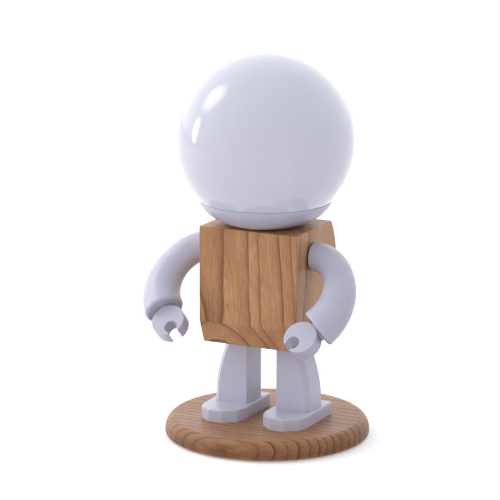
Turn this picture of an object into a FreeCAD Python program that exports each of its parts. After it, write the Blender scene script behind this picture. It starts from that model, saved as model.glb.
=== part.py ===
import FreeCAD, Part
import math
import os

# A robot-shaped table lamp: a glass globe for a head, a wooden block for a body, moulded
# arms, legs and feet, and a round wooden base. Millimetres, +Z up. The origin is the
# centre of the underside. The figure faces -Y, so its own left side is +X.
# Every sided piece is drawn for the left side and mirrored for the right.

V = FreeCAD.Vector
ORIGIN = V(0, 0, 0)
UP = V(0, 0, 1)

# How far a cutting shape runs past the face that it opens
OVERCUT = 1.0

# Round base
BASE_R = 87.4
BASE_TOP = 16.8
BASE_EDGE_IN = 8.4
BASE_EDGE_DROP = 11.5
BASE_LOWER_R = 3.0
FELT_R = 76.0
FELT_T = 1.0

# Feet and legs
FOOT_T = 10.5
FOOT_X = 29.2
FOOT_HALF_W = 19.3
FOOT_HEEL_Y = 28.0
FOOT_TOE_Y = -41.5
FOOT_TOE_HALF = 6.2
FOOT_KNUCKLE = (16.6, -33.8)
FOOT_CURVE_Y = -21.0
FOOT_HEEL_ROUND = 3.0
FOOT_CREASE_ROUND = 1.5
FOOT_TOP_ROUND = 1.2
FOOT_TOP = BASE_TOP + FOOT_T
LEG_INNER_X = 14.0
LEG_OUTER_X = 45.0
LEG_STRAIGHT = 4.7
LEG_CURVE_R = 108.0
LEG_FRONT_Y = -12.0
LEG_BACK_Y = 16.7
LEG_CHAMFER = 4.2

# Wooden body block
BODY_BOTTOM = 83.6
BODY_TOP = 185.3
BODY_HALF_W = 45.25
BODY_FRONT_Y = -38.9
BODY_BACK_Y = 40.0
BODY_CHAMFER_Y = 8.15
BODY_CHAMFER_Z = 20.1
BODY_TOP_BACK_Y = 30.2
BODY_SHOULDER_MID = (36.9, 171.5)
BODY_SHOULDER_LOW_Z = 157.0
EASED_EDGE = 0.6
LAMP_Y = -5.0
POCKET_R = 17.5
POCKET_FLOOR = 101.0
DUCT_HALF_W = 14.0
DUCT_TOP = 117.0

# Leg bolts, one M5 through base, foot and leg into an insert in the body
BOLT_X = 22.5
BOLT_Y = 2.3
BOLT_R = 2.5
BOLT_HOLE_R = 2.7
BOLT_HEAD_R = 4.6
BOLT_HEAD_H = 3.0
HEX_SOCKET_R = 1.7
HEX_SOCKET_DEPTH = 2.0
COUNTERBORE_R = 6.0
COUNTERBORE_TOP = 7.0
WASHER_R = 5.5
WASHER_T = 1.0
INSERT_R = 4.0
INSERT_L = 13.0
INSERT_SINK = 0.5
PRESS_GAP = 0.03
DOWEL_R = 2.0
DOWEL_END_GAP = 0.3
DOWEL_HALF_L = 5.0
DOWEL_OFFSET_Y = 9.0

# Lamp cup: an elliptical bowl whose rim is nearly flush with the globe
CUP_HALF_W = 56.3
CUP_DEPTH = 27.0
CUP_CENTRE_Z = 209.0
CUP_RIM_Z = 206.2
CUP_RIM_ROUND = 0.45
CUP_FLOOR_Z = 188.3
CUP_BOWL = ((33.5, 188.3), (40.5, 191.5), (47.3, 197.0))
CUP_SHELF_Z = 200.5
CUP_SEAT_R = 51.9
WIRE_HOLE_R = 5.0

# Globe: a blown shell on a shoulder and a neck that stands in the cup
GLOBE_R = 75.0
GLOBE_WALL = 2.2
GLOBE_Z = 256.5
GLOBE_SHOULDER_Z = 206.6
GLOBE_LIP_R = 54.4
GLOBE_LIP_T = 1.9
NECK_R = 51.6
NECK_IN_R = 49.4
NECK_Z = 202.0
GASKET_IN_R = 47.9
GASKET_GAP = 0.3

# Light source
SINK_Z = 191.5
SINK_R = 36.0
SINK_T = 3.5
LED_BOARD_R = 33.0
BOARD_T = 1.6
LED_SCREW_RING = 27.0
LED_SCREW_HEAD_R = 2.8
LED_SCREW_HEAD_H = 1.8
LED_SCREW_PAST = 1.0
LED_HOLE_R = 1.7
LED_POST_R = 3.4
LED_POST_SINK = 0.5
CUP_SCREW_RING = 22.5
CUP_SCREW_L = 14.0
SCREW_HEAD_R = 3.2
SCREW_HEAD_H = 2.0
SCREW_R = 1.5
SCREW_HOLE_R = 1.8
CHIP_RING = 18.0
CHIP_COUNT = 8
CHIP_TURN = 7.5
CHIP_HALF_W = 2.5
CHIP_T = 1.2

# Driver circuit in the body's pocket, and its leads
DRIVER_HALF_W = 13.0
DRIVER_LOW = 120.0
DRIVER_TOP = 158.0
CAPACITOR_R = 3.0
COIL_R = 4.5
COIL_H = 4.0
LEAD_X = 2.0
LEAD_R = 0.7
LED_LEAD_RISE = 3.0
LED_LEAD_SPREAD = 3.5
LED_LEAD_BEND = 1.45
INLET_LEAD_BEND = 5.0

# Shoulders: a steel peg turns in a plastic bush
SHOULDER_Y = -8.0
SHOULDER_Z = 162.3
BUSH_R = 7.97
BUSH_INNER_X = 27.0
BUSH_OUTER_X = 45.05
PEG_R = 5.0
PEG_CLEARANCE = 0.06
PEG_INNER_X = 22.5
PEG_OUTER_X = 54.0
RING_X = 25.5
RING_T = 1.2
RING_R = 6.8
RING_GAP = 0.05
PEG_GROOVE_R = 4.2
SIDE_BORE_R = 8.0
SIDE_BORE_OVERLAP = 3.0

# Arms: a tube along two arcs in a plane that leans forward
ARM_START_X = 46.6
ARM_LEAN = 41.7
ARM_BEND_1 = 45.5
ARM_R_1 = 30.3
ARM_BEND_2 = 129.0
ARM_R_2 = 43.5
ARM_TUBE_START = 12.2
ARM_TUBE_MIDDLE = 13.5
ARM_TUBE_END = 17.0
ARM_WALL = 3.2
ARM_SECTIONS = 15
ARM_END_ROUND = 1.3
ARM_HOLLOW = (14.0, 124.5)
PEG_GRIP = 0.02
PEG_END_GAP = 0.3
CUFF_ROUND = 2.4
CUFF_BORE_R = 14.05

# Wrists and hands: a clip with a peg that turns in a socket in the cuff
SOCKET_R = 14.0
SOCKET_DEPTH = 0.8
SOCKET_T = 4.0
WRIST_PEG_R = 4.0
WRIST_CLEARANCE = 0.05
WRIST_GROOVE_R = 3.2
WRIST_PEG_PAST = 2.6
WRIST_RING_R = 6.0
WRIST_RING_T = 1.0
WRIST_RING_GAP = 0.3
HAND_REACH = 15.0
HAND_R = 14.5
HAND_T = 13.3
HAND_NECK_R = 6.2
HAND_EDGE = 1.0
CLIP_R = 5.6
CLIP_OFFSET = 7.6
CLIP_MOUTH = 8.3
NECK_START = -4.0
NECK_SHORT = 0.4

# Power inlet and push button in the back
PLATE_Z = 109.0
PLATE_W = 37.6
PLATE_H = 20.6
PLATE_T = 1.5
PLATE_GAP = 0.2
PLATE_CORNER_R = 3.0
PLATE_EDGE = 0.4
PLATE_SCREW_X = 16.2
PLATE_SCREW_R = 1.0
PLATE_SCREW_L = 9.0
PLATE_SCREW_HOLE_R = 1.2
PLATE_HEAD_R = 2.0
PLATE_HEAD_HOLE_R = 2.2
PLATE_HEAD_H = 0.8
CROSS_SLOT = (1.4, 0.3, 0.5)
INLET_X = -6.5
INLET_W = 8.9
INLET_H = 3.3
INLET_L = 7.4
INLET_SKIN = 0.3
INLET_PROUD = 0.2
INLET_GAP = 0.1
INLET_BACK = 0.8
TONGUE_HALF = (3.1, 0.35)
TONGUE_L = 5.2
CRADLE_HALF_W = 5.0
CRADLE_Y = (32.0, 38.0)
BUTTON_X = 7.0
BUTTON_R = 4.0
BUTTON_GAP = 0.3
BUTTON_FLANGE_R = 5.2
BUTTON_FLANGE_T = 1.2
BUTTON_FLANGE_GAP = 0.3
BUTTON_EDGE = 0.8
BUTTON_PROUD = 2.0
BUTTON_TRAVEL = 1.5
BUTTON_BORE_R = 2.6
BUTTON_BORE_DEPTH = 1.2
SPRING_SEAT_Y = 27.2
SPRING_WIRE_R = 0.2
SPRING_R = 2.1
SPRING_TURNS = 6
SPRING_STEPS = 12
SWITCH_HALF_W = 4.5
SWITCH_Y = (22.0, 29.0)
IO_BOARD_Z = 105.0
IO_BOARD_HALF_W = 12.5
IO_BOARD_Y = (18.0, 38.2)


def line(start, end):
    return Part.LineSegment(start, end).toShape()


def arc(start, middle, end):
    return Part.Arc(start, middle, end).toShape()


def polyline(points):
    return [line(a, b) for a, b in zip(points, points[1:])]


def face_of(edges):
    return Part.Face(Part.Wire(edges))


def turned(edges):
    return face_of(edges).revolve(ORIGIN, UP, 360)


def rod(radius, start, end):
    along = end - start
    return Part.makeCylinder(radius, along.Length, start, along)


def tube(outer, inner, start, end):
    return rod(outer, start, end).cut(rod(inner, start, end))


def block(low, high):
    return Part.makeBox(high.x - low.x, high.y - low.y, high.z - low.z, low)


def mirrored(shape):
    return shape.mirror(ORIGIN, V(1, 0, 0))


def both_sides(shape):
    return [shape, mirrored(shape)]


def on_circle(radius, count, turn=0.0):
    angles = [math.radians(turn + 360.0 * i / count) for i in range(count)]
    return [V(radius * math.cos(a), LAMP_Y + radius * math.sin(a), 0) for a in angles]


def base_profile():
    """Half section of the base: flat underside, small lower round, full upper bullnose."""
    low_in = V(BASE_R - BASE_LOWER_R, 0, FELT_T)
    low_out = V(BASE_R, 0, FELT_T + BASE_LOWER_R)
    diagonal = BASE_LOWER_R * (1 - math.sqrt(0.5))
    low_mid = V(BASE_R - diagonal, 0, FELT_T + diagonal)
    top_in = V(BASE_R - BASE_EDGE_IN, 0, BASE_TOP)
    side_top = V(BASE_R, 0, BASE_TOP - BASE_EDGE_DROP)
    centre = V(top_in.x, 0, side_top.z)
    bullnose = Part.ArcOfEllipse(Part.Ellipse(top_in, side_top, centre), 0, math.pi / 2)
    return [
        line(V(0, 0, FELT_T), low_in),
        arc(low_in, low_mid, low_out),
        line(low_out, side_top),
        bullnose.toShape(),
        line(top_in, V(0, 0, BASE_TOP)),
        line(V(0, 0, BASE_TOP), V(0, 0, FELT_T)),
    ]


def bolt_axis(z):
    return V(BOLT_X, BOLT_Y, z)


def dowel_axis(z):
    return V(BOLT_X, BOLT_Y + DOWEL_OFFSET_Y, z)


def dowel_holes():
    """Blind holes of the dowels at the foot's two joints and at the leg's top."""
    holes = []
    for z in (BASE_TOP, FOOT_TOP, BODY_BOTTOM):
        reach = DOWEL_HALF_L + DOWEL_END_GAP
        holes.append(rod(DOWEL_R + PRESS_GAP, dowel_axis(z - reach), dowel_axis(z + reach)))
    return holes


def base_disc():
    disc = turned(base_profile())
    for side in both_sides(Part.makeCompound([
            rod(BOLT_HOLE_R, bolt_axis(0), bolt_axis(BASE_TOP + OVERCUT)),
            rod(COUNTERBORE_R, bolt_axis(0), bolt_axis(COUNTERBORE_TOP)),
            dowel_holes()[0]])):
        disc = disc.cut(side)
    return disc


def base_felt():
    return rod(FELT_R, ORIGIN, V(0, 0, FELT_T))


def foot_outline():
    """Flat toe, two facets, then arcs that run out into the straight sides."""
    knuckle_x, knuckle_y = FOOT_KNUCKLE
    drop = FOOT_CURVE_Y - knuckle_y
    inset = FOOT_HALF_W - knuckle_x
    radius = (drop ** 2 + inset ** 2) / (2 * inset)
    half_turn = math.asin(drop / radius) / 2
    mid_x = FOOT_HALF_W - radius * (1 - math.cos(half_turn))
    mid_y = FOOT_CURVE_Y - radius * math.sin(half_turn)

    def at(x, y):
        return V(FOOT_X + x, y, BASE_TOP)

    return [
        line(at(-FOOT_HALF_W, FOOT_HEEL_Y), at(FOOT_HALF_W, FOOT_HEEL_Y)),
        line(at(FOOT_HALF_W, FOOT_HEEL_Y), at(FOOT_HALF_W, FOOT_CURVE_Y)),
        arc(at(FOOT_HALF_W, FOOT_CURVE_Y), at(mid_x, mid_y), at(knuckle_x, knuckle_y)),
        line(at(knuckle_x, knuckle_y), at(FOOT_TOE_HALF, FOOT_TOE_Y)),
        line(at(FOOT_TOE_HALF, FOOT_TOE_Y), at(-FOOT_TOE_HALF, FOOT_TOE_Y)),
        line(at(-FOOT_TOE_HALF, FOOT_TOE_Y), at(-knuckle_x, knuckle_y)),
        arc(at(-knuckle_x, knuckle_y), at(-mid_x, mid_y), at(-FOOT_HALF_W, FOOT_CURVE_Y)),
        line(at(-FOOT_HALF_W, FOOT_CURVE_Y), at(-FOOT_HALF_W, FOOT_HEEL_Y)),
    ]


def is_upright(edge):
    a, b = edge.Vertexes[0].Point, edge.Vertexes[-1].Point
    return abs(a.x - b.x) < 0.01 and abs(a.y - b.y) < 0.01


def edges_at_height(shape, z):
    return [e for e in shape.Edges if abs(e.BoundBox.ZMin - z) + abs(e.BoundBox.ZMax - z) < 0.01]


def foot():
    slab = face_of(foot_outline()).extrude(UP * FOOT_T)
    heel = [e for e in slab.Edges if is_upright(e) and e.BoundBox.YMin > FOOT_HEEL_Y - 1]
    slab = slab.makeFillet(FOOT_HEEL_ROUND, heel)
    creases = [e for e in slab.Edges if is_upright(e) and e.BoundBox.YMax < FOOT_CURVE_Y - 1]
    slab = slab.makeFillet(FOOT_CREASE_ROUND, creases)
    slab = slab.makeFillet(FOOT_TOP_ROUND, edges_at_height(slab, FOOT_TOP))
    slab = slab.cut(rod(BOLT_HOLE_R, bolt_axis(0), bolt_axis(BODY_BOTTOM)))
    for hole in dowel_holes()[:2]:
        slab = slab.cut(hole)
    return slab


def leg():
    """Straight inner side; the outer side leans in towards the top on one arc."""
    straight_top = FOOT_TOP + LEG_STRAIGHT
    turn = math.asin((BODY_BOTTOM - straight_top) / LEG_CURVE_R)
    top_x = LEG_OUTER_X - LEG_CURVE_R * (1 - math.cos(turn))
    mid_x = LEG_OUTER_X - LEG_CURVE_R * (1 - math.cos(turn / 2))
    mid_z = straight_top + LEG_CURVE_R * math.sin(turn / 2)

    def at(x, z):
        return V(x, LEG_FRONT_Y, z)

    profile = [
        line(at(LEG_INNER_X, FOOT_TOP), at(LEG_OUTER_X, FOOT_TOP)),
        line(at(LEG_OUTER_X, FOOT_TOP), at(LEG_OUTER_X, straight_top)),
        arc(at(LEG_OUTER_X, straight_top), at(mid_x, mid_z), at(top_x, BODY_BOTTOM)),
        line(at(top_x, BODY_BOTTOM), at(LEG_INNER_X, BODY_BOTTOM)),
        line(at(LEG_INNER_X, BODY_BOTTOM), at(LEG_INNER_X, FOOT_TOP)),
    ]
    post = face_of(profile).extrude(V(0, LEG_BACK_Y - LEG_FRONT_Y, 0))
    outer = []
    for edge in post.Edges:
        box = edge.BoundBox
        if box.XMin > top_x - 0.01 and box.YLength < 0.01 and box.ZLength > 1:
            outer.append(edge)
    post = post.makeChamfer(LEG_CHAMFER, outer)
    inner = [e for e in post.Edges if is_upright(e) and e.BoundBox.XMax < LEG_INNER_X + 0.01]
    post = post.makeFillet(EASED_EDGE, inner)
    post = post.cut(rod(BOLT_HOLE_R, bolt_axis(0), bolt_axis(BODY_BOTTOM + OVERCUT)))
    for hole in dowel_holes()[1:]:
        post = post.cut(hole)
    return post


def leg_bolt():
    """Cap screw that stands on its head, with a hexagon socket in the underside."""
    head_top = COUNTERBORE_TOP - WASHER_T
    head = rod(BOLT_HEAD_R, bolt_axis(head_top - BOLT_HEAD_H), bolt_axis(head_top))
    corners = []
    for i in range(7):
        angle = math.radians(60 * i)
        corner = V(math.cos(angle), math.sin(angle), 0) * HEX_SOCKET_R
        corners.append(bolt_axis(head_top - BOLT_HEAD_H) + corner)
    socket = Part.Face(Part.makePolygon(corners)).extrude(UP * HEX_SOCKET_DEPTH)
    shank = rod(BOLT_R, bolt_axis(head_top), bolt_axis(BODY_BOTTOM + INSERT_L - 1))
    return head.cut(socket).fuse(shank)


def leg_bolt_washer():
    low = COUNTERBORE_TOP - WASHER_T
    return tube(WASHER_R, BOLT_HOLE_R, bolt_axis(low), bolt_axis(COUNTERBORE_TOP))


def body_insert():
    low = BODY_BOTTOM + INSERT_SINK
    return tube(INSERT_R, BOLT_R + PRESS_GAP, bolt_axis(low), bolt_axis(low + INSERT_L))


def dowels():
    return [rod(DOWEL_R, dowel_axis(z - DOWEL_HALF_L), dowel_axis(z + DOWEL_HALF_L))
            for z in (BASE_TOP, FOOT_TOP, BODY_BOTTOM)]


def body_profile():
    """Side section: a sloped lower front and a rounded upper back."""
    def at(y, z):
        return V(-BODY_HALF_W, y, z)

    corners = [
        at(BODY_TOP_BACK_Y, BODY_TOP),
        at(BODY_FRONT_Y, BODY_TOP),
        at(BODY_FRONT_Y, BODY_BOTTOM + BODY_CHAMFER_Z),
        at(BODY_FRONT_Y + BODY_CHAMFER_Y, BODY_BOTTOM),
        at(BODY_BACK_Y, BODY_BOTTOM),
        at(BODY_BACK_Y, BODY_SHOULDER_LOW_Z),
    ]
    return polyline(corners) + [arc(corners[-1], at(*BODY_SHOULDER_MID), corners[0])]


def hollowed(wood):
    """Round pocket from the top, a duct from its foot to the back, and the plate's recess."""
    centre = V(0, LAMP_Y, 0)
    wood = wood.cut(rod(POCKET_R, centre + UP * POCKET_FLOOR, centre + UP * (BODY_TOP + OVERCUT)))
    duct_low = V(-DUCT_HALF_W, LAMP_Y, POCKET_FLOOR)
    wood = wood.cut(block(duct_low, V(DUCT_HALF_W, BODY_BACK_Y + OVERCUT, DUCT_TOP)))
    return wood.cut(rounded_plate(PLATE_GAP, PLATE_T + OVERCUT))


def body_block():
    wood = face_of(body_profile()).extrude(V(2 * BODY_HALF_W, 0, 0))
    wood = hollowed(wood.makeFillet(EASED_EDGE, wood.Edges))
    under = V(0, 0, BODY_BOTTOM - OVERCUT)
    insert_depth = INSERT_SINK + INSERT_L + OVERCUT
    dowel_depth = DOWEL_HALF_L + DOWEL_END_GAP
    for side in (1, -1):
        bore_start = V(side * (POCKET_R - SIDE_BORE_OVERLAP), SHOULDER_Y, SHOULDER_Z)
        bore_end = V(side * (BODY_HALF_W + OVERCUT), SHOULDER_Y, SHOULDER_Z)
        wood = wood.cut(rod(SIDE_BORE_R, bore_start, bore_end))
        bolt_low = under + V(side * BOLT_X, BOLT_Y, 0)
        wood = wood.cut(rod(INSERT_R + PRESS_GAP, bolt_low, bolt_low + UP * (insert_depth + OVERCUT)))
        dowel_low = bolt_low + V(0, DOWEL_OFFSET_Y, 0)
        wood = wood.cut(rod(DOWEL_R + PRESS_GAP, dowel_low, dowel_low + UP * (dowel_depth + OVERCUT)))
        screw_at = V(side * PLATE_SCREW_X, BODY_BACK_Y, PLATE_Z)
        screw_end = screw_at - V(0, PLATE_SCREW_L + 2, 0)
        wood = wood.cut(rod(PLATE_SCREW_R + PRESS_GAP, screw_at, screw_end))
    top = BODY_TOP + OVERCUT
    for point in on_circle(CUP_SCREW_RING, 3, 90):
        wood = wood.cut(rod(SCREW_R + PRESS_GAP, point + UP * (BODY_TOP - CUP_SCREW_L - 2), point + UP * top))
    return wood


def rounded_plate(grow, thickness):
    """The inlet plate's outline, made larger all round by grow, from its inner face outwards."""
    half_w = PLATE_W / 2 + grow
    half_h = PLATE_H / 2 + grow
    inner_y = BODY_BACK_Y - PLATE_T
    low = V(-half_w, inner_y, PLATE_Z - half_h)
    high = V(half_w, inner_y + thickness, PLATE_Z + half_h)
    plate = block(low, high)
    corners = [e for e in plate.Edges if abs(e.BoundBox.YLength - thickness) < 0.01]
    return plate.makeFillet(PLATE_CORNER_R + grow, corners)


def inlet_shell_solid(skin):
    """Round-ended bar of the inlet's section, smaller all round by skin."""
    radius = INLET_H / 2 - skin
    half = INLET_W / 2 - INLET_H / 2
    start_y = BODY_BACK_Y + INLET_PROUD - INLET_L
    ends = [V(INLET_X + x, start_y, PLATE_Z) for x in (-half, half)]
    bars = [rod(radius, p, p + V(0, INLET_L, 0)) for p in ends]
    middle = block(V(INLET_X - half, start_y, PLATE_Z - radius),
                   V(INLET_X + half, start_y + INLET_L, PLATE_Z + radius))
    return middle.fuse(bars).removeSplitter()


def inlet_plate():
    plate = rounded_plate(0.0, PLATE_T)
    outside = [e for e in plate.Edges
               if abs(e.BoundBox.YMin - BODY_BACK_Y) + abs(e.BoundBox.YMax - BODY_BACK_Y) < 0.01]
    plate = plate.makeChamfer(PLATE_EDGE, outside)
    plate = plate.cut(inlet_shell_solid(-INLET_GAP))
    through = V(0, PLATE_T + 2 * OVERCUT, 0)
    button_at = V(BUTTON_X, BODY_BACK_Y - PLATE_T - OVERCUT, PLATE_Z)
    plate = plate.cut(rod(BUTTON_R + BUTTON_GAP, button_at, button_at + through))
    for side in (1, -1):
        hole = V(side * PLATE_SCREW_X, BODY_BACK_Y - PLATE_T - OVERCUT, PLATE_Z)
        plate = plate.cut(rod(PLATE_SCREW_HOLE_R, hole, hole + through))
        sink = V(hole.x, BODY_BACK_Y - PLATE_HEAD_H, PLATE_Z)
        plate = plate.cut(rod(PLATE_HEAD_HOLE_R, sink, sink + V(0, PLATE_HEAD_H + OVERCUT, 0)))
    return plate


def plate_screw(side):
    spot = V(side * PLATE_SCREW_X, BODY_BACK_Y, PLATE_Z)
    under_head = spot - V(0, PLATE_HEAD_H, 0)
    head = rod(PLATE_HEAD_R, under_head, spot)
    long_half, short_half, depth = CROSS_SLOT
    for x, z in ((long_half, short_half), (short_half, long_half)):
        head = head.cut(block(spot - V(x, depth, z), spot + V(x, OVERCUT, z)))
    return head.fuse(rod(PLATE_SCREW_R, spot - V(0, PLATE_SCREW_L, 0), under_head))


def inlet_shell():
    shell = inlet_shell_solid(0.0)
    hollow = inlet_shell_solid(INLET_SKIN).translated(V(0, INLET_BACK, 0))
    return shell.cut(hollow)


def inlet_tongue():
    half_w, half_t = TONGUE_HALF
    back = V(INLET_X, BODY_BACK_Y + INLET_PROUD - INLET_L + INLET_BACK, PLATE_Z)
    return block(back - V(half_w, 0, half_t), back + V(half_w, TONGUE_L, half_t))


def button_flange_y():
    """Outer face of the flange that keeps the button behind the plate."""
    return BODY_BACK_Y - PLATE_T - BUTTON_FLANGE_GAP


def io_board():
    """Small board with a notch where the pressed button's flange comes down to it."""
    front_y, back_y = IO_BOARD_Y
    board = block(V(-IO_BOARD_HALF_W, front_y, IO_BOARD_Z),
                  V(IO_BOARD_HALF_W, back_y, IO_BOARD_Z + BOARD_T))
    notch_y = button_flange_y() - BUTTON_FLANGE_T - BUTTON_TRAVEL - OVERCUT
    notch_low = V(BUTTON_X - BUTTON_FLANGE_R - OVERCUT, notch_y, IO_BOARD_Z - OVERCUT)
    notch_high = V(IO_BOARD_HALF_W + OVERCUT, back_y + OVERCUT, IO_BOARD_Z + BOARD_T + OVERCUT)
    return board.cut(block(notch_low, notch_high))


def inlet_cradle():
    """Moulded seat that carries the inlet above the small board."""
    front_y, back_y = CRADLE_Y
    low = V(INLET_X - CRADLE_HALF_W, front_y, IO_BOARD_Z + BOARD_T)
    return block(low, V(INLET_X + CRADLE_HALF_W, back_y, PLATE_Z - INLET_H / 2))


def switch_body():
    front_y, back_y = SWITCH_Y
    low = V(BUTTON_X - SWITCH_HALF_W, front_y, IO_BOARD_Z + BOARD_T)
    body = block(low, V(BUTTON_X + SWITCH_HALF_W, back_y, PLATE_Z + SWITCH_HALF_W))
    seat = V(BUTTON_X, SPRING_SEAT_Y, PLATE_Z)
    return body.cut(rod(BUTTON_BORE_R, seat, V(BUTTON_X, back_y + OVERCUT, PLATE_Z)))


def power_button():
    """Cap with a retaining flange behind the plate and a hollow foot over the spring."""
    flange_y = button_flange_y()
    face_y = BODY_BACK_Y + BUTTON_PROUD

    def at(y):
        return V(BUTTON_X, y, PLATE_Z)

    cap = rod(BUTTON_R, at(flange_y), at(face_y))
    rim = [e for e in cap.Edges if abs(e.BoundBox.YMax - face_y) < 0.01 and e.BoundBox.YLength < 0.01]
    cap = cap.makeFillet(BUTTON_EDGE, rim)
    cap = cap.fuse(rod(BUTTON_FLANGE_R, at(flange_y - BUTTON_FLANGE_T), at(flange_y)))
    bore_start = flange_y - BUTTON_FLANGE_T - OVERCUT
    return cap.cut(rod(BUTTON_BORE_R, at(bore_start), at(flange_y + BUTTON_BORE_DEPTH)))


def button_spring():
    """Coil from the switch's seat to the bottom of the button's bore."""
    start_y = SPRING_SEAT_Y + SPRING_WIRE_R
    length = button_flange_y() + BUTTON_BORE_DEPTH - SPRING_WIRE_R - start_y
    count = SPRING_TURNS * SPRING_STEPS
    points = []
    for i in range(count + 1):
        angle = 2 * math.pi * i / SPRING_STEPS
        x = BUTTON_X + SPRING_R * math.cos(angle)
        points.append(V(x, start_y + length * i / count, PLATE_Z + SPRING_R * math.sin(angle)))
    path = Part.BSplineCurve()
    path.interpolate(points)
    heading = path.tangent(path.FirstParameter)[0]
    section = Part.Wire(Part.Circle(points[0], heading, SPRING_WIRE_R).toShape())
    return Part.Wire(path.toShape()).makePipeShell([section], True, False)


def cup_profile():
    """Half section: an elliptical bowl cut off flat below, with a shelf for the gasket."""
    def on_ellipse(z):
        return math.asin((CUP_CENTRE_Z - z) / CUP_DEPTH)

    centre = V(0, 0, CUP_CENTRE_Z)
    ellipse = Part.Ellipse(centre + V(CUP_HALF_W, 0, 0), centre - V(0, 0, CUP_DEPTH), centre)
    outer = Part.ArcOfEllipse(ellipse, on_ellipse(CUP_RIM_Z - CUP_RIM_ROUND), on_ellipse(BODY_TOP))
    rim_side = outer.StartPoint
    rim_centre = rim_side - V(CUP_RIM_ROUND, 0, 0)
    rim_middle = rim_centre + V(math.sqrt(0.5), 0, math.sqrt(0.5)) * CUP_RIM_ROUND
    rim_top = V(rim_centre.x, 0, CUP_RIM_Z)
    cavity_r = CUP_BOWL[-1][0]
    inner = [outer.EndPoint, V(WIRE_HOLE_R, 0, BODY_TOP), V(WIRE_HOLE_R, 0, CUP_FLOOR_Z)]
    inner += [V(x, 0, z) for x, z in CUP_BOWL]
    inner += [
        V(cavity_r, 0, CUP_SHELF_Z),
        V(CUP_SEAT_R, 0, CUP_SHELF_Z),
        V(CUP_SEAT_R, 0, CUP_RIM_Z),
        rim_top,
    ]
    return [outer.toShape()] + polyline(inner) + [arc(rim_top, rim_middle, rim_side)]


def lamp_cup():
    cup = turned(cup_profile()).translated(V(0, LAMP_Y, 0))
    for point in on_circle(LED_SCREW_RING, 3, 30):
        foot_z = CUP_FLOOR_Z - LED_POST_SINK
        cup = cup.fuse(rod(LED_POST_R, point + UP * foot_z, point + UP * SINK_Z))
        screw_low = point + UP * (CUP_FLOOR_Z - LED_SCREW_PAST - LED_POST_SINK)
        cup = cup.cut(rod(SCREW_R + PRESS_GAP, screw_low, point + UP * (SINK_Z + OVERCUT)))
    for point in on_circle(CUP_SCREW_RING, 3, 90):
        low = point + UP * (BODY_TOP - OVERCUT)
        cup = cup.cut(rod(SCREW_HOLE_R, low, point + UP * (CUP_FLOOR_Z + OVERCUT)))
    return cup


def cup_screws():
    screws = []
    for point in on_circle(CUP_SCREW_RING, 3, 90):
        seat = point + UP * CUP_FLOOR_Z
        head = rod(SCREW_HEAD_R, seat, seat + UP * SCREW_HEAD_H)
        screws.append(head.fuse(rod(SCREW_R, point + UP * (BODY_TOP - CUP_SCREW_L), seat)))
    return screws


def light_disc(radius, low, thickness):
    """Flat disc with the lead hole and the three screw holes of the light source."""
    centre = V(0, LAMP_Y, low)
    disc = tube(radius, WIRE_HOLE_R, centre, centre + UP * thickness)
    for point in on_circle(LED_SCREW_RING, 3, 30):
        hole_low = point + UP * (low - OVERCUT)
        disc = disc.cut(rod(LED_HOLE_R, hole_low, point + UP * (low + thickness + OVERCUT)))
    return disc


def led_heat_sink():
    return light_disc(SINK_R, SINK_Z, SINK_T)


def led_board():
    return light_disc(LED_BOARD_R, SINK_Z + SINK_T, BOARD_T)


def led_chips():
    low = SINK_Z + SINK_T + BOARD_T
    reach = V(CHIP_HALF_W, CHIP_HALF_W, 0)
    spots = [point + UP * low for point in on_circle(CHIP_RING, CHIP_COUNT, CHIP_TURN)]
    return [block(spot - reach, spot + reach + UP * CHIP_T) for spot in spots]


def led_screws():
    top = SINK_Z + SINK_T + BOARD_T
    screws = []
    for point in on_circle(LED_SCREW_RING, 3, 30):
        head = rod(LED_SCREW_HEAD_R, point + UP * top, point + UP * (top + LED_SCREW_HEAD_H))
        end = point + UP * (CUP_FLOOR_Z - LED_SCREW_PAST)
        screws.append(head.fuse(rod(SCREW_R, end, point + UP * top)))
    return screws


def globe_gasket():
    centre = V(0, LAMP_Y, 0)
    outer = CUP_SEAT_R - GASKET_GAP
    return tube(outer, GASKET_IN_R, centre + UP * CUP_SHELF_Z, centre + UP * NECK_Z)


def globe():
    """Shell cut off at the shoulder, a lip turned inwards and a neck that stands on the gasket."""
    centre = V(0, LAMP_Y, GLOBE_Z)
    shell = Part.makeSphere(GLOBE_R, centre).cut(Part.makeSphere(GLOBE_R - GLOBE_WALL, centre))
    low = V(-GLOBE_R, LAMP_Y - GLOBE_R, GLOBE_Z - GLOBE_R - OVERCUT)
    shell = shell.cut(block(low, V(GLOBE_R, LAMP_Y + GLOBE_R, GLOBE_SHOULDER_Z)))
    shoulder = V(0, LAMP_Y, GLOBE_SHOULDER_Z)
    lip = tube(GLOBE_LIP_R, NECK_IN_R, shoulder, shoulder + UP * GLOBE_LIP_T)
    neck = tube(NECK_R, NECK_IN_R, V(0, LAMP_Y, NECK_Z), shoulder + UP * GLOBE_LIP_T)
    return shell.fuse([lip, neck])


def driver_board():
    half_t = BOARD_T / 2
    low = V(-DRIVER_HALF_W, LAMP_Y - half_t, DRIVER_LOW)
    return block(low, V(DRIVER_HALF_W, LAMP_Y + half_t, DRIVER_TOP))


def driver_components():
    """A can capacitor, a coil and a control chip on the front of the driver board."""
    front_y = LAMP_Y - BOARD_T / 2
    can_y = front_y - CAPACITOR_R - 0.1
    capacitor = rod(CAPACITOR_R, V(-7, can_y, 146), V(-7, can_y, 156))
    coil = rod(COIL_R, V(5, front_y, 150), V(5, front_y - COIL_H, 150))
    chip = block(V(-4, front_y - 1.5, 129), V(4, front_y, 134))
    return [capacitor, coil, chip]


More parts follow.
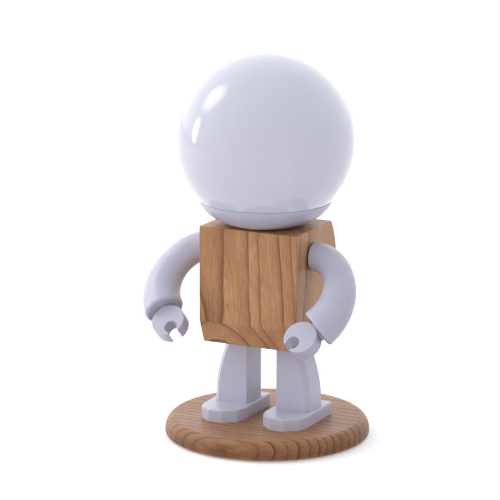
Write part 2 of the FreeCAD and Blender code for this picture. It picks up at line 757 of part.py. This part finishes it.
def bent_wire(points, wire_r, bend_r):
    """Round wire along straight runs that are joined by tangent arcs."""
    edges = []
    start = points[0]
    for before, corner, after in zip(points, points[1:], points[2:]):
        back = (before - corner).normalize()
        ahead = (after - corner).normalize()
        half = back.getAngle(ahead) / 2
        inset = bend_r / math.tan(half)
        toward = (back + ahead).normalize()
        middle = corner + toward * (bend_r / math.sin(half) - bend_r)
        edges.append(line(start, corner + back * inset))
        edges.append(arc(corner + back * inset, middle, corner + ahead * inset))
        start = corner + ahead * inset
    edges.append(line(start, points[-1]))
    section = Part.Wire(Part.Circle(points[0], points[1] - points[0], wire_r).toShape())
    return Part.Wire(edges).makePipeShell([section], True, False)


def led_leads():
    """Two leads from the top of the driver board up through the cup and over the LED board."""
    top = SINK_Z + SINK_T + BOARD_T
    leads = []
    for x in (-LEAD_X, LEAD_X):
        far_x = x * LED_LEAD_SPREAD
        points = [
            V(x, LAMP_Y, DRIVER_TOP),
            V(x, LAMP_Y, top + LED_LEAD_RISE),
            V(far_x, LAMP_Y, top + LED_LEAD_RISE),
            V(far_x, LAMP_Y, top),
        ]
        leads.append(bent_wire(points, LEAD_R, LED_LEAD_BEND))
    return leads


def inlet_leads():
    """Two leads from the small board forwards and up to the foot of the driver board."""
    height = IO_BOARD_Z + BOARD_T / 2
    leads = []
    for x in (-LEAD_X, LEAD_X):
        points = [V(x, IO_BOARD_Y[0], height), V(x, LAMP_Y, height), V(x, LAMP_Y, DRIVER_LOW)]
        leads.append(bent_wire(points, LEAD_R, INLET_LEAD_BEND))
    return leads


def shoulder_at(x):
    return V(x, SHOULDER_Y, SHOULDER_Z)


def shoulder_bush():
    return tube(BUSH_R, PEG_R + PEG_CLEARANCE, shoulder_at(BUSH_INNER_X), shoulder_at(BUSH_OUTER_X))


def shoulder_peg():
    """Pin with a groove near its inner end for the retaining ring."""
    groove = tube(PEG_R + OVERCUT, PEG_GROOVE_R, shoulder_at(RING_X), shoulder_at(RING_X + RING_T))
    return rod(PEG_R, shoulder_at(PEG_INNER_X), shoulder_at(PEG_OUTER_X)).cut(groove)


def shoulder_ring():
    start = shoulder_at(RING_X + RING_GAP)
    return tube(RING_R, PEG_GROOVE_R + RING_GAP, start, shoulder_at(RING_X + RING_T - RING_GAP))


def arm_down():
    """Direction in which the hanging part of the arm leans: down and forwards."""
    lean = math.radians(ARM_LEAN)
    return V(0, -math.sin(lean), -math.cos(lean))


def arm_point(turn):
    """Centre of the arm where its direction has turned by this many degrees."""
    first = math.radians(min(turn, ARM_BEND_1))
    out = ARM_R_1 * math.sin(first)
    down = ARM_R_1 * (1 - math.cos(first))
    if turn > ARM_BEND_1:
        second = math.radians(turn)
        out += ARM_R_2 * (math.sin(second) - math.sin(first))
        down += ARM_R_2 * (math.cos(first) - math.cos(second))
    return shoulder_at(ARM_START_X + out) + arm_down() * down


def arm_direction(turn):
    angle = math.radians(turn)
    return V(math.cos(angle), 0, 0) + arm_down() * math.sin(angle)


def arm_normal():
    """Across the plane that the arm bends in, upwards and forwards."""
    return arm_down().cross(V(1, 0, 0))


def arm_tube_radius(turn):
    """The tube grows evenly from the shoulder to the middle, then to the cuff."""
    share = turn / ARM_BEND_2
    if share < 0.5:
        return ARM_TUBE_START + (ARM_TUBE_MIDDLE - ARM_TUBE_START) * share * 2
    return ARM_TUBE_MIDDLE + (ARM_TUBE_END - ARM_TUBE_MIDDLE) * (share * 2 - 1)


def arm_loft(first_turn, last_turn, inset):
    sections = []
    for i in range(ARM_SECTIONS):
        turn = first_turn + (last_turn - first_turn) * i / (ARM_SECTIONS - 1)
        circle = Part.Wire(Part.Circle(ORIGIN, UP, arm_tube_radius(turn) - inset).toShape())
        facing = FreeCAD.Rotation(arm_normal(), V(0, 0, 0), arm_direction(turn), "ZXY")
        circle.Placement = FreeCAD.Placement(arm_point(turn), facing)
        sections.append(circle)
    return Part.makeLoft(sections, True, False)


def cuff_point(depth):
    """On the wrist axis, this far inside the cuff's mouth."""
    return arm_point(ARM_BEND_2) - arm_direction(ARM_BEND_2) * depth


def arm():
    """Bent tube, solid near both ends, bored for the shoulder peg and for the wrist socket."""
    shell = arm_loft(0, ARM_BEND_2, 0)
    for radius, is_cuff in ((ARM_END_ROUND, False), (CUFF_ROUND, True)):
        rims = [e for f in shell.Faces if isinstance(f.Surface, Part.Plane) for e in f.Edges]
        rims = [e for e in rims if (e.BoundBox.XMax > ARM_START_X + 1) == is_cuff]
        shell = shell.makeFillet(radius, rims)
    shell = shell.cut(arm_loft(*ARM_HOLLOW, ARM_WALL))
    shell = shell.cut(rod(CUFF_BORE_R, cuff_point(SOCKET_DEPTH + SOCKET_T), cuff_point(-OVERCUT)))
    peg_start = shoulder_at(ARM_START_X - OVERCUT)
    return shell.cut(rod(PEG_R + PEG_GRIP, peg_start, shoulder_at(PEG_OUTER_X + PEG_END_GAP)))


def wrist_socket():
    outer = cuff_point(SOCKET_DEPTH)
    inner = cuff_point(SOCKET_DEPTH + SOCKET_T)
    return tube(SOCKET_R, WRIST_PEG_R + WRIST_CLEARANCE, inner, outer)


def wrist_ring():
    low = SOCKET_DEPTH + SOCKET_T + WRIST_RING_GAP
    bore = WRIST_GROOVE_R + RING_GAP
    return tube(WRIST_RING_R, bore, cuff_point(low + WRIST_RING_T), cuff_point(low))


def hand():
    """Open clip on a neck, whose peg passes through the socket and takes a ring."""
    palm = rod(HAND_R, V(0, 0, -HAND_T / 2), V(0, 0, HAND_T / 2))
    rims = [e for e in palm.Edges if e.BoundBox.ZLength < 0.01]
    palm = palm.makeFillet(HAND_EDGE, rims)
    grip = V(CLIP_OFFSET, 0, -HAND_T)
    palm = palm.cut(rod(CLIP_R, grip, grip + V(0, 0, 2 * HAND_T)))
    mouth_low = V(CLIP_OFFSET, -CLIP_MOUTH / 2, -HAND_T)
    palm = palm.cut(block(mouth_low, V(HAND_R + OVERCUT, CLIP_MOUTH / 2, HAND_T)))

    def on_axis(x):
        return V(x, 0, 0)

    socket_face = -HAND_REACH - SOCKET_DEPTH
    neck_end = socket_face + NECK_SHORT
    neck = rod(HAND_NECK_R, on_axis(NECK_START), on_axis(neck_end))
    peg = rod(WRIST_PEG_R, on_axis(neck_end), on_axis(socket_face - SOCKET_T - WRIST_PEG_PAST))
    groove_start = socket_face - SOCKET_T - WRIST_RING_GAP + RING_GAP
    groove_end = groove_start - WRIST_RING_T - 2 * RING_GAP
    groove = tube(WRIST_PEG_R + OVERCUT, WRIST_GROOVE_R, on_axis(groove_end), on_axis(groove_start))
    clip = palm.fuse([neck, peg]).cut(groove)
    facing = FreeCAD.Rotation(arm_direction(ARM_BEND_2), V(0, 0, 0), arm_normal(), "ZXY")
    clip.Placement = FreeCAD.Placement(cuff_point(-HAND_REACH), facing)
    return clip


def sided_nodes():
    """Pieces that come in a left and a mirrored right version."""
    pieces = {
        "foot": foot(),
        "leg": leg(),
        "shoulder_bush": shoulder_bush(),
        "shoulder_peg": shoulder_peg(),
        "shoulder_ring": shoulder_ring(),
        "arm": arm(),
        "wrist_socket": wrist_socket(),
        "wrist_ring": wrist_ring(),
        "hand": hand(),
    }
    nodes = {}
    for name, shape in pieces.items():
        nodes[name + "_left"] = shape
        nodes[name + "_right"] = mirrored(shape)
    return nodes


def all_nodes():
    nodes = sided_nodes()
    nodes["base_disc"] = base_disc()
    nodes["base_felt"] = base_felt()
    nodes["leg_bolts"] = Part.makeCompound(both_sides(leg_bolt()))
    nodes["leg_bolt_washers"] = Part.makeCompound(both_sides(leg_bolt_washer()))
    nodes["body_inserts"] = Part.makeCompound(both_sides(body_insert()))
    nodes["locating_dowels"] = Part.makeCompound([d for rods in dowels() for d in both_sides(rods)])
    nodes["body_block"] = body_block()
    nodes["lamp_cup"] = lamp_cup()
    nodes["cup_screws"] = Part.makeCompound(cup_screws())
    nodes["led_heat_sink"] = led_heat_sink()
    nodes["led_board"] = led_board()
    nodes["led_chips"] = Part.makeCompound(led_chips())
    nodes["led_screws"] = Part.makeCompound(led_screws())
    nodes["globe_gasket"] = globe_gasket()
    nodes["globe"] = globe()
    nodes["driver_board"] = driver_board()
    nodes["driver_components"] = Part.makeCompound(driver_components())
    nodes["led_leads"] = Part.makeCompound(led_leads())
    nodes["inlet_leads"] = Part.makeCompound(inlet_leads())
    nodes["inlet_plate"] = inlet_plate()
    nodes["plate_screws"] = Part.makeCompound([plate_screw(1), plate_screw(-1)])
    nodes["inlet_shell"] = inlet_shell()
    nodes["inlet_tongue"] = inlet_tongue()
    nodes["inlet_cradle"] = inlet_cradle()
    nodes["io_board"] = io_board()
    nodes["switch_body"] = switch_body()
    nodes["button_spring"] = button_spring()
    nodes["power_button"] = power_button()
    return nodes


os.makedirs("parts", exist_ok=True)
for node_name, node_shape in all_nodes().items():
    node_shape.exportStep("parts/" + node_name + ".step")
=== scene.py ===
import math
import bpy
from mathutils import Euler, Matrix, Vector

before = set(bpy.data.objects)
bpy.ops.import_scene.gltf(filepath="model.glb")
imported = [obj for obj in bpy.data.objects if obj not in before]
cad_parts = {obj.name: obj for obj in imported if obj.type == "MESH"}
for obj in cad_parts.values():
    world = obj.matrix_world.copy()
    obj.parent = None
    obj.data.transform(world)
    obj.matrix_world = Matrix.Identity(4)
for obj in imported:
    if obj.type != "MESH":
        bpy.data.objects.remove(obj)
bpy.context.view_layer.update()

# Camera: metres and degrees in the row frame, lens and sensor in millimetres
CAMERA_TURN = math.radians(26.4)
CAMERA_RISE = math.radians(13.22)
CAMERA_ROLL = math.radians(0.12)
CAMERA_DISTANCE = 2.482
CAMERA_SIDE = -0.0139
CAMERA_AIM = Vector((0, -0.0027, 0.1617))
CAMERA_LENS = 211.5
CAMERA_SENSOR = 36.0
CAMERA_FAR = 50.0

# Colours, linear
WHITE_PLASTIC = (0.50, 0.50, 0.585, 1)
PLATE_WHITE = (0.70, 0.70, 0.74, 1)
OPAL_WHITE = (0.36, 0.364, 0.42, 1)
# Painted glow of the opal globe, though the lamp is off
OPAL_PAINTED_GLOW = (0.235, 0.238, 0.262, 1)
PALE_FLOOR = (0.93, 0.93, 0.94, 1)
STEEL = (0.62, 0.62, 0.64, 1)
BRASS = (0.72, 0.53, 0.25, 1)
ALUMINIUM = (0.78, 0.79, 0.80, 1)
FELT_DARK = (0.02, 0.02, 0.022, 1)
FELT_LIGHT = (0.09, 0.09, 0.095, 1)

# Wood: colours from the palest early wood to the dark late wood. The grain is vertical in the
# body and nearly along X in the base; turn brings it onto Z. pith is a point on the pith line,
# in millimetres, and rings pairs a radius round it with the number of growth rings inside.
BODY_WOOD = {
    "turn": (math.radians(-1.5), math.radians(4.0), 0),
    "pith": (-33, 25, 127),
    "rings": ((10, 1), (28, 3), (43, 5), (58, 7), (64.5, 8), (72.8, 9), (78.1, 10), (92.3, 11),
              (100.3, 12), (117, 14), (130, 15)),
    "pale": (0.62, 0.36, 0.18, 1),
    "middle": (0.50, 0.262, 0.115, 1),
    "dark": (0.15, 0.047, 0.014, 1),
    "bold": 0.9,
    "wander": 7.0,
    "upright_shade": 0.0,
    "shine": 0.25,
}
BASE_WOOD = {
    "turn": (0, math.radians(-90), math.radians(10)),
    "pith": (0, 185, -45),
    "rings": ((100, 0.4), (118, 2.4), (140, 4.4), (158, 6.4), (176, 8.4), (197, 10.4), (212, 12.4),
              (229, 14.4), (242, 16.4), (257, 18.4), (270, 20.4), (330, 30.4)),
    "pale": (0.49, 0.28, 0.15, 1),
    "middle": (0.37, 0.195, 0.095, 1),
    "dark": (0.11, 0.04, 0.015, 1),
    "bold": 1.0,
    "wander": 11.0,
    "upright_shade": 0.6,
    "shine": 0.15,
}

# Wood patterns: waves per millimetre across and along the grain
SWAY_WAVES = (0.02, 0.02, 0.009)
PATCH_WAVES = (0.12, 0.12, 0.03)
STREAK_WAVES = (0.62, 0.62, 0.018)
FIBRE_WAVES = (2.6, 2.6, 0.09)
PORE_WAVES = (1.7, 1.7, 0.12)
TONE_WAVES = (0.045, 0.045, 0.012)
# Darkness through one growth ring, from its early wood to the end of its late wood
LATE_WOOD = ((0.0, 0.75), (0.035, 0.0), (0.45, 0.0), (0.76, 0.18), (0.90, 0.5), (0.97, 1.0))

# Studio brightness: from behind the object round to the camera, from the camera's left to its
# right, and from below up to overhead
SKY_ROUND = ((-0.7, (1.50, 1.50, 1.58)), (0.05, (1.00, 1.00, 1.07)), (0.95, (0.92, 0.91, 0.97)))
SKY_SIDE = ((-0.95, (1.12, 1.12, 1.12)), (0.1, (1.0, 1.0, 1.0)), (0.95, (0.74, 0.74, 0.74)))
SKY_HEIGHT = ((-0.15, (0.72, 0.68, 0.69)), (0.08, (1.08, 1.08, 1.08)), (0.95, (0.78, 0.78, 0.78)))
SKY_STRENGTH = 1.12

# Softboxes: name, place, width, height, watts, colour
SOFTBOX_AIM = Vector((0, 0, 0.18))
SOFTBOXES = (
    ("left_window", (-1.55, -0.39, 0.42), 0.45, 0.80, 4.0, (0.97, 0.98, 1.0)),
    ("left_glow", (-1.46, -0.33, 1.42), 1.1, 1.3, 11.0, (1.0, 0.98, 0.96)),
)
# A softbox is brightest this far from its middle, then fades to none, in shares of its sides
FADE_START = 0.15
FADE_END = 0.5
FADE_PEAK = 2.2

# Floor: half its side in metres, and how much it glows in its own colour
FLOOR_HALF = 14.0
FLOOR_LIFT = 0.22


# ---------------------------------------------------------------- node helpers

class Shader:
    """A material under construction: adds nodes and returns their output sockets."""

    def __init__(self, name):
        self.material = bpy.data.materials.new(name)
        self.material.use_nodes = True
        self.tree = self.material.node_tree
        self.surface = self.tree.nodes["Principled BSDF"]
        self.place = self.node("ShaderNodeTexCoord").outputs["Object"]
        self.millimetres = self.vector("SCALE", self.place, scale=1000.0)

    def node(self, kind, values=None, **settings):
        made = self.tree.nodes.new(kind)
        for key, value in settings.items():
            setattr(made, key, value)
        for key, value in (values or {}).items():
            self.put(made.inputs[key], value)
        return made

    def put(self, socket, value):
        if isinstance(value, bpy.types.NodeSocket):
            self.tree.links.new(value, socket)
        else:
            socket.default_value = value

    def math(self, operation, a, b=0.0, c=0.0):
        made = self.node("ShaderNodeMath", operation=operation)
        for socket, value in zip(made.inputs, (a, b, c)):
            self.put(socket, value)
        return made.outputs[0]

    def vector(self, operation, a, b=(0, 0, 0), scale=1.0):
        made = self.node("ShaderNodeVectorMath", operation=operation)
        self.put(made.inputs[0], a)
        if operation == "SCALE":
            self.put(made.inputs["Scale"], scale)
        elif operation != "LENGTH":
            self.put(made.inputs[1], b)
        return made.outputs["Value" if operation == "LENGTH" else "Vector"]

    def noise(self, place, detail=2.0, roughness=0.5, colour=False):
        values = {"Vector": place, "Scale": 1.0, "Detail": detail, "Roughness": roughness}
        made = self.node("ShaderNodeTexNoise", values)
        return made.outputs["Color" if colour else "Fac"]

    def ramp(self, value, stops, interpolation="LINEAR"):
        made = self.node("ShaderNodeValToRGB", {"Fac": value})
        made.color_ramp.interpolation = interpolation
        while len(made.color_ramp.elements) < len(stops):
            made.color_ramp.elements.new(0.5)
        for element, (position, grey) in zip(made.color_ramp.elements, stops):
            element.position = position
            element.color = grey if hasattr(grey, "__len__") else (grey, grey, grey, 1)
        return made.outputs["Color"]

    def mix(self, share, a, b, blend_type="MIX"):
        made = self.node("ShaderNodeMix", data_type="RGBA", blend_type=blend_type)
        self.put(made.inputs[0], share)
        self.put(made.inputs[6], a)
        self.put(made.inputs[7], b)
        return made.outputs[2]

    def bump(self, height, strength, distance):
        made = self.node("ShaderNodeBump", {"Height": height, "Strength": strength, "Distance": distance})
        self.put(self.surface.inputs["Normal"], made.outputs["Normal"])

    def set(self, **values):
        for key, value in values.items():
            self.put(self.surface.inputs[key.replace("_", " ")], value)


def paint(material, *names):
    for name in names:
        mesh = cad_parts[name].data
        mesh.materials.clear()
        mesh.materials.append(material)


# ---------------------------------------------------------------- materials

def growth_rings(s, log_bent, rings):
    """Place within the ring, 0 to 1 outwards, and the ring's own number."""
    radius = s.vector("LENGTH", s.vector("MULTIPLY", log_bent, (1, 1, 0)))
    widest, total = rings[-1]
    stops = [(edge / widest, count / total) for edge, count in rings]
    ring = s.math("MULTIPLY", s.ramp(s.math("DIVIDE", radius, widest), stops), total)
    return s.math("FRACT", ring), s.math("FLOOR", ring)


def late_wood(s, log, phase, number, bold):
    """Dark late wood of each ring, stronger in some rings and in some patches."""
    force = s.node("ShaderNodeTexWhiteNoise", {"W": number}, noise_dimensions="1D").outputs["Value"]
    force = s.math("MULTIPLY", s.math("ADD", s.math("MULTIPLY", force, 0.5), 0.5), bold)
    patchy = s.noise(s.vector("MULTIPLY", log, PATCH_WAVES), 2.0, 0.5)
    force = s.math("MULTIPLY", force, s.math("ADD", patchy, 0.5))
    return s.math("MULTIPLY", s.ramp(phase, LATE_WOOD, "EASE"), force)


def upright_share(s):
    """0 on level faces, 1 on upright ones."""
    normal = s.node("ShaderNodeNewGeometry").outputs["True Normal"]
    facing = s.node("ShaderNodeSeparateXYZ", {"Vector": normal})
    return s.math("SUBTRACT", 1.0, s.math("ABSOLUTE", facing.outputs["Z"]))


def wood(name, turn, pith, rings, pale, middle, dark, bold, wander, upright_shade, shine):
    """Ash as a solid block: growth rings round a pith line, streaks and pores along it.

    bold is the strength of the late wood, wander how far the rings stray in millimetres, rim
    how much painted shade darkens upright faces, and shine the specular level.
    """
    s = Shader(name)
    rotation = Euler(turn)
    shift = -(rotation.to_matrix() @ Vector(pith))
    log = s.node("ShaderNodeMapping", {"Vector": s.millimetres, "Location": shift, "Rotation": rotation})
    log = log.outputs["Vector"]
    sway = s.noise(s.vector("MULTIPLY", log, SWAY_WAVES), 2.0, 0.45, colour=True)
    sway = s.vector("SUBTRACT", sway, (0.5, 0.5, 0.5))
    log_bent = s.vector("ADD", log, s.vector("SCALE", sway, scale=wander))
    phase, number = growth_rings(s, log_bent, rings)
    late = late_wood(s, log, phase, number, bold)
    streak = s.noise(s.vector("MULTIPLY", log_bent, STREAK_WAVES), 4.0, 0.62)
    fibre = s.noise(s.vector("MULTIPLY", log_bent, FIBRE_WAVES), 3.0, 0.6)
    pores = s.noise(s.vector("MULTIPLY", log_bent, PORE_WAVES), 2.0, 0.5)
    early = s.ramp(phase, [(0.0, 1.0), (0.4, 0.4)])
    pores = s.math("MULTIPLY", s.ramp(pores, [(0.54, 0.0), (0.68, 1.0)]), early)
    tone = s.noise(s.vector("MULTIPLY", log, TONE_WAVES), 2.0, 0.5)
    colour = s.mix(s.ramp(streak, [(0.36, 0.0), (0.64, 1.0)]), pale, middle)
    warm = s.mix(0.5, middle, dark)
    colour = s.mix(s.math("MULTIPLY", s.ramp(tone, [(0.42, 0.0), (0.68, 1.0)]), 0.5), colour, warm)
    colour = s.mix(s.math("MULTIPLY", s.ramp(fibre, [(0.40, 0.0), (0.66, 1.0)]), 0.75), colour, warm)
    colour = s.mix(s.math("MULTIPLY", pores, 0.42), colour, dark)
    colour = s.mix(late, colour, dark)
    # Painted shade: upright faces, such as the base disc's edge, are darkened towards the middle colour
    shaded = s.mix(1.0, colour, middle, "MULTIPLY")
    colour = s.mix(s.math("MULTIPLY", upright_share(s), upright_shade), colour, shaded)
    height = s.math("SUBTRACT", s.math("MULTIPLY", fibre, 0.35), s.math("MULTIPLY", pores, 0.8))
    height = s.math("ADD", height, s.math("MULTIPLY", late, 0.3))
    gloss = s.math("ADD", s.math("MULTIPLY", fibre, 0.12), 0.33)
    gloss = s.math("ADD", s.math("MULTIPLY", pores, 0.15), gloss)
    s.set(Base_Color=colour, Roughness=gloss, Specular_IOR_Level=shine)
    s.bump(height, 0.35, 0.00018)
    return s.material


def moulded_plastic(name, colour, roughness, grain=0.06):
    """Satin moulding: faint cloudy colour, fine texture and slightly uneven gloss."""
    s = Shader(name)
    cloud = s.noise(s.vector("SCALE", s.millimetres, scale=0.03), 3.0)
    shade = tuple(c * 0.95 for c in colour[:3]) + (1,)
    s.set(Base_Color=s.mix(s.ramp(cloud, [(0.35, 0.0), (0.65, 1.0)]), colour, shade))
    fine = s.noise(s.vector("SCALE", s.millimetres, scale=2.4), 3.0, 0.6)
    broad = s.noise(s.vector("SCALE", s.millimetres, scale=0.12), 2.0)
    s.set(Roughness=s.math("ADD", s.math("MULTIPLY", broad, 0.08), roughness - 0.04))
    s.bump(fine, grain, 0.0001)
    s.set(Subsurface_Weight=0.15, Subsurface_Radius=(1.0, 0.9, 0.8), Subsurface_Scale=0.003)
    return s.material


def opal_glass(name):
    """Blown opal glass: milky body under a clear, very smooth face with slow waves.

    Its faint painted glow stands for the light that the milky wall scatters from behind, though the lamp is
    off.
    """
    s = Shader(name)
    cloud = s.noise(s.vector("SCALE", s.millimetres, scale=0.012), 2.0)
    warm = tuple(c * 0.97 for c in OPAL_WHITE[:3]) + (1,)
    s.set(Base_Color=s.mix(s.ramp(cloud, [(0.35, 0.0), (0.65, 1.0)]), OPAL_WHITE, warm))
    wave = s.noise(s.vector("MULTIPLY", s.millimetres, (0.022, 0.022, 0.04)), 1.0)
    s.bump(wave, 0.25, 0.0012)
    s.set(Roughness=0.045, IOR=1.52, Emission_Color=OPAL_PAINTED_GLOW, Emission_Strength=1.0)
    s.set(Subsurface_Weight=0.25, Subsurface_Radius=(1.0, 1.0, 1.1), Subsurface_Scale=0.006)
    return s.material


def metal(name, colour, roughness, stretch):
    """Plated or turned metal with fine tool lines."""
    s = Shader(name)
    lines = s.noise(s.vector("MULTIPLY", s.millimetres, stretch), 3.0)
    shade = tuple(c * 0.8 for c in colour[:3]) + (1,)
    s.set(Base_Color=s.mix(lines, colour, shade))
    s.set(Roughness=s.math("ADD", s.math("MULTIPLY", lines, 0.2), roughness - 0.1))
    s.set(Metallic=1.0)
    s.bump(lines, 0.08, 0.00005)
    return s.material


def speckled(name, colour, accent, size, roughness):
    """Even surface with fine flecks of a second colour, for boards, rubber and small mouldings."""
    s = Shader(name)
    fleck = s.noise(s.vector("SCALE", s.millimetres, scale=size), 4.0, 0.65)
    share = s.math("MULTIPLY", s.ramp(fleck, [(0.4, 0.0), (0.7, 1.0)]), 0.4)
    s.set(Base_Color=s.mix(share, colour, accent))
    s.set(Roughness=s.math("ADD", s.math("MULTIPLY", fleck, 0.15), roughness - 0.07))
    s.bump(fleck, 0.1, 0.0001)
    return s.material


def felt(name):
    """Pressed wool: dark fuzz without gloss."""
    s = Shader(name)
    fuzz = s.noise(s.vector("SCALE", s.millimetres, scale=1.6), 6.0, 0.75)
    s.set(Base_Color=s.mix(fuzz, FELT_DARK, FELT_LIGHT), Roughness=0.95, Sheen_Weight=0.4)
    s.bump(fuzz, 0.6, 0.0004)
    return s.material


def both_sides(*parts):
    return [f"{part}_{side}" for part in parts for side in ("left", "right")]


def paint_outside():
    white = moulded_plastic("white_moulding", WHITE_PLASTIC, 0.36)
    paint(wood("body_ash", **BODY_WOOD), "body_block")
    paint(wood("base_ash", **BASE_WOOD), "base_disc")
    paint(white, *both_sides("arm", "hand", "leg", "foot", "wrist_socket"))
    paint(moulded_plastic("cup_moulding", WHITE_PLASTIC, 0.33), "lamp_cup")
    paint(opal_glass("opal_glass"), "globe")
    paint(moulded_plastic("plate_moulding", PLATE_WHITE, 0.45, 0.2), "inlet_plate")
    paint(moulded_plastic("button_moulding", WHITE_PLASTIC, 0.25), "power_button")
    paint(felt("felt"), "base_felt")


def paint_metal():
    fine_lines = (0.4, 0.4, 4.0)
    steel = metal("zinc_steel", STEEL, 0.32, fine_lines)
    paint(steel, "leg_bolts", "leg_bolt_washers", "cup_screws", "led_screws", "plate_screws")
    paint(steel, "inlet_shell", "button_spring", *both_sides("shoulder_peg", "shoulder_ring", "wrist_ring"))
    paint(metal("turned_brass", BRASS, 0.3, fine_lines), "body_inserts")
    paint(metal("plain_aluminium", ALUMINIUM, 0.35, (3.0, 0.3, 0.3)), "led_heat_sink")


def paint_inside():
    """Speckled materials: name, colour, fleck colour, fleck size, roughness, then its nodes."""
    for name, colour, fleck, size, roughness, nodes in (
        ("green_board", (0.02, 0.16, 0.07, 1), (0.04, 0.25, 0.12, 1), 0.7, 0.4,
         ("driver_board", "io_board")),
        ("black_parts", (0.015, 0.015, 0.017, 1), (0.06, 0.06, 0.065, 1), 1.8, 0.5,
         ("driver_components", "inlet_tongue", "inlet_cradle", "switch_body")),
        ("white_board", (0.8, 0.8, 0.82, 1), (0.7, 0.7, 0.72, 1), 0.5, 0.35, ("led_board",)),
        ("phosphor", (0.85, 0.62, 0.12, 1), (0.9, 0.75, 0.3, 1), 2.5, 0.5, ("led_chips",)),
        ("silicone", (0.7, 0.7, 0.72, 1), (0.6, 0.6, 0.62, 1), 0.8, 0.6, ("globe_gasket",)),
        ("lead_sheath", (0.42, 0.02, 0.015, 1), (0.55, 0.05, 0.03, 1), 0.9, 0.45,
         ("led_leads", "inlet_leads")),
        ("nylon", (0.7, 0.67, 0.6, 1), (0.6, 0.57, 0.5, 1), 0.6, 0.5, both_sides("shoulder_bush")),
        ("beech", (0.55, 0.36, 0.2, 1), (0.4, 0.24, 0.12, 1), 0.9, 0.6, ("locating_dowels",)),
    ):
        paint(speckled(name, colour, fleck, size, roughness), *nodes)


# ---------------------------------------------------------------- camera, floor, light

def add_camera():
    back = Vector((math.sin(CAMERA_TURN) * math.cos(CAMERA_RISE),
                   -math.cos(CAMERA_TURN) * math.cos(CAMERA_RISE), math.sin(CAMERA_RISE)))
    right = Vector((math.cos(CAMERA_TURN), math.sin(CAMERA_TURN), 0))
    data = bpy.data.cameras.new("camera")
    data.lens = CAMERA_LENS
    data.sensor_width = CAMERA_SENSOR
    data.clip_end = CAMERA_FAR
    camera = bpy.data.objects.new("camera", data)
    bpy.context.scene.collection.objects.link(camera)
    up = back.cross(right)
    turned_right = right * math.cos(CAMERA_ROLL) + up * math.sin(CAMERA_ROLL)
    turned_up = up * math.cos(CAMERA_ROLL) - right * math.sin(CAMERA_ROLL)
    axes = Matrix((turned_right, turned_up, back)).transposed().to_4x4()
    place = CAMERA_AIM + back * CAMERA_DISTANCE + right * CAMERA_SIDE
    camera.matrix_world = Matrix.Translation(place) @ axes
    bpy.context.scene.camera = camera


def add_floor():
    """Large pale table top, as bright as the studio behind it; diffuse faces don't pick it up."""
    mesh = bpy.data.meshes.new("floor")
    corners = [(x * FLOOR_HALF, y * FLOOR_HALF, 0) for x, y in ((-1, -1), (1, -1), (1, 1), (-1, 1))]
    mesh.from_pydata(corners, [], [(0, 1, 2, 3)])
    floor = bpy.data.objects.new("floor", mesh)
    bpy.context.scene.collection.objects.link(floor)
    s = Shader("pale_floor")
    s.set(Base_Color=PALE_FLOOR, Roughness=0.9, Specular_IOR_Level=0.1)
    s.set(Emission_Color=PALE_FLOOR, Emission_Strength=FLOOR_LIFT)
    mesh.materials.append(s.material)
    floor.visible_diffuse = False


def add_softbox(name, place, width, height, power, colour):
    """Rectangular diffuser, brightest in the middle and fading to its edges."""
    data = bpy.data.lights.new(name, "AREA")
    data.use_nodes = True
    tree = data.node_tree
    across = tree.nodes.new("ShaderNodeVectorMath")
    across.operation = "DISTANCE"
    across.inputs[1].default_value = (0.5, 0.5, 0)
    pane = tree.nodes.new("ShaderNodeNewGeometry").outputs["Parametric"]
    tree.links.new(pane, across.inputs[0])
    fade = tree.nodes.new("ShaderNodeMapRange")
    fade.interpolation_type = "SMOOTHSTEP"
    fade.inputs["From Min"].default_value = FADE_START
    fade.inputs["From Max"].default_value = FADE_END
    fade.inputs["To Min"].default_value = FADE_PEAK
    fade.inputs["To Max"].default_value = 0.0
    tree.links.new(across.outputs["Value"], fade.inputs["Value"])
    tree.links.new(fade.outputs["Result"], tree.nodes["Emission"].inputs["Strength"])
    data.shape = "RECTANGLE"
    data.size = width
    data.size_y = height
    data.energy = power
    data.color = colour
    light = bpy.data.objects.new(name, data)
    light.location = place
    light.rotation_euler = (SOFTBOX_AIM - Vector(place)).to_track_quat("-Z", "Y").to_euler()
    bpy.context.scene.collection.objects.link(light)


def add_world():
    """White studio all round: dimmer towards the camera, to its right, overhead and below."""
    world = bpy.data.worlds.new("studio")
    world.use_nodes = True
    tree = world.node_tree
    sky = tree.nodes["Background"]
    way = tree.nodes.new("ShaderNodeTexCoord").outputs["Generated"]
    toward_camera = (math.sin(CAMERA_TURN), -math.cos(CAMERA_TURN), 0)
    to_the_right = (math.cos(CAMERA_TURN), math.sin(CAMERA_TURN), 0)
    colours = []
    for axis, stops in ((toward_camera, SKY_ROUND), (to_the_right, SKY_SIDE), ((0, 0, 1), SKY_HEIGHT)):
        dot = tree.nodes.new("ShaderNodeVectorMath")
        dot.operation = "DOT_PRODUCT"
        dot.inputs[1].default_value = axis
        tree.links.new(way, dot.inputs[0])
        half = tree.nodes.new("ShaderNodeMapRange")
        half.inputs["From Min"].default_value = -1.0
        tree.links.new(dot.outputs["Value"], half.inputs["Value"])
        ramp = tree.nodes.new("ShaderNodeValToRGB")
        ramp.color_ramp.interpolation = "EASE"
        while len(ramp.color_ramp.elements) < len(stops):
            ramp.color_ramp.elements.new(0.5)
        for element, (place, colour) in zip(ramp.color_ramp.elements, stops):
            element.position = place / 2 + 0.5
            element.color = (*colour, 1)
        tree.links.new(half.outputs["Result"], ramp.inputs["Fac"])
        colours.append(ramp.outputs["Color"])
    together = colours[0]
    for colour in colours[1:]:
        product = tree.nodes.new("ShaderNodeVectorMath")
        product.operation = "MULTIPLY"
        tree.links.new(together, product.inputs[0])
        tree.links.new(colour, product.inputs[1])
        together = product.outputs["Vector"]
    tree.links.new(together, sky.inputs["Color"])
    sky.inputs["Strength"].default_value = SKY_STRENGTH
    bpy.context.scene.world = world


add_camera()
paint_outside()
paint_metal()
paint_inside()
add_floor()
add_world()
for softbox in SOFTBOXES:
    add_softbox(*softbox)
bpy.context.scene.view_settings.view_transform = "Standard"
